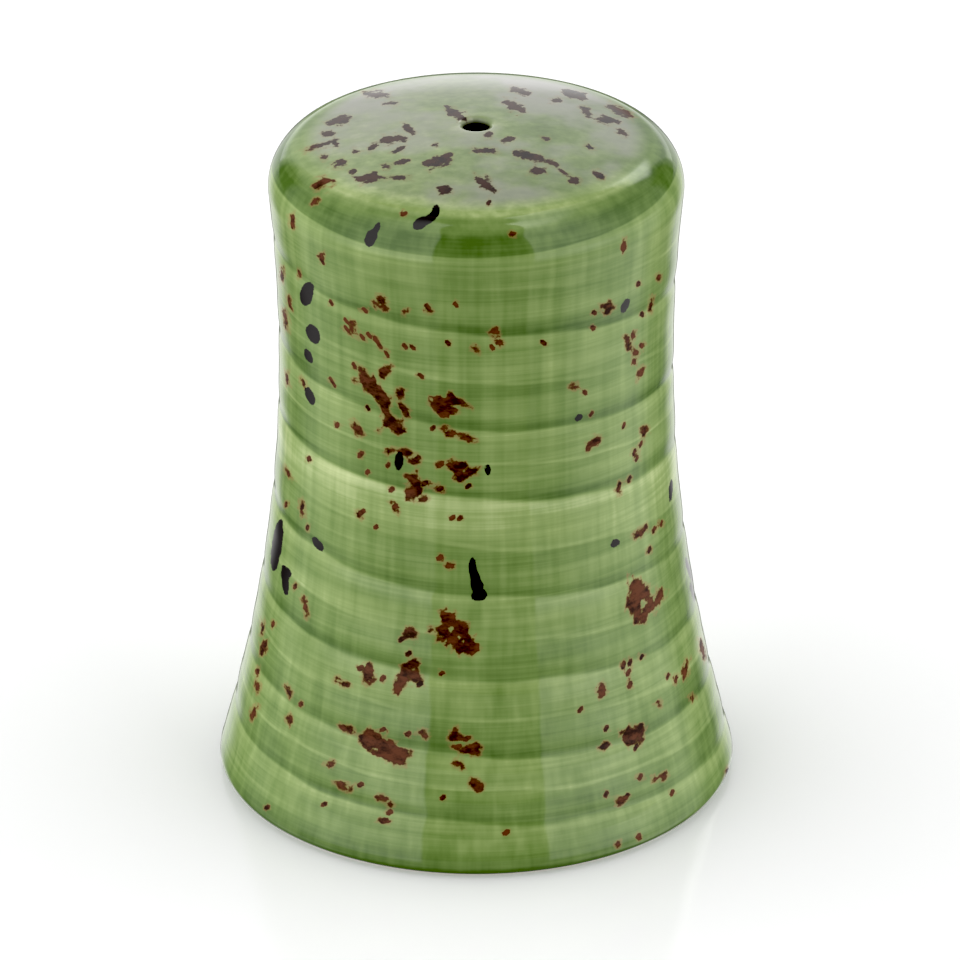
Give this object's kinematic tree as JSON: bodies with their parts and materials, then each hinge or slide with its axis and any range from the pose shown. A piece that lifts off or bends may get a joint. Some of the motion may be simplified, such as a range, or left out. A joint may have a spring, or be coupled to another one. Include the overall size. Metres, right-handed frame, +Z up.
{
  "type": "spice shaker",
  "caption": "Waisted glazed porcelain spice shaker that pours through its domed crown and is filled through a stoppered base.",
  "frame": {"origin": "centre of the foot ring, on the plane it stands on", "axes": "+Z up along the axis the body is turned about; +X lies along the stopper's grip bar"},
  "size_m": [0.0606, 0.0606, 0.0812],
  "materials": {
    "glazed_porcelain": "glossy clear glaze over brushed leaf green, with dark brown and rust flecks",
    "stopper_silicone": "satin milky silicone"
  },
  "bodies": {
    "shaker": {"ceramic_body": "glazed_porcelain"},
    "plug": {"stopper": "stopper_silicone"}
  },
  "joints": [
    {"name": "stopper_pull", "type": "slide", "parent": "shaker", "child": "plug", "axis": [0, 0, -1], "range_m": [0, 0.025]}
  ]
}
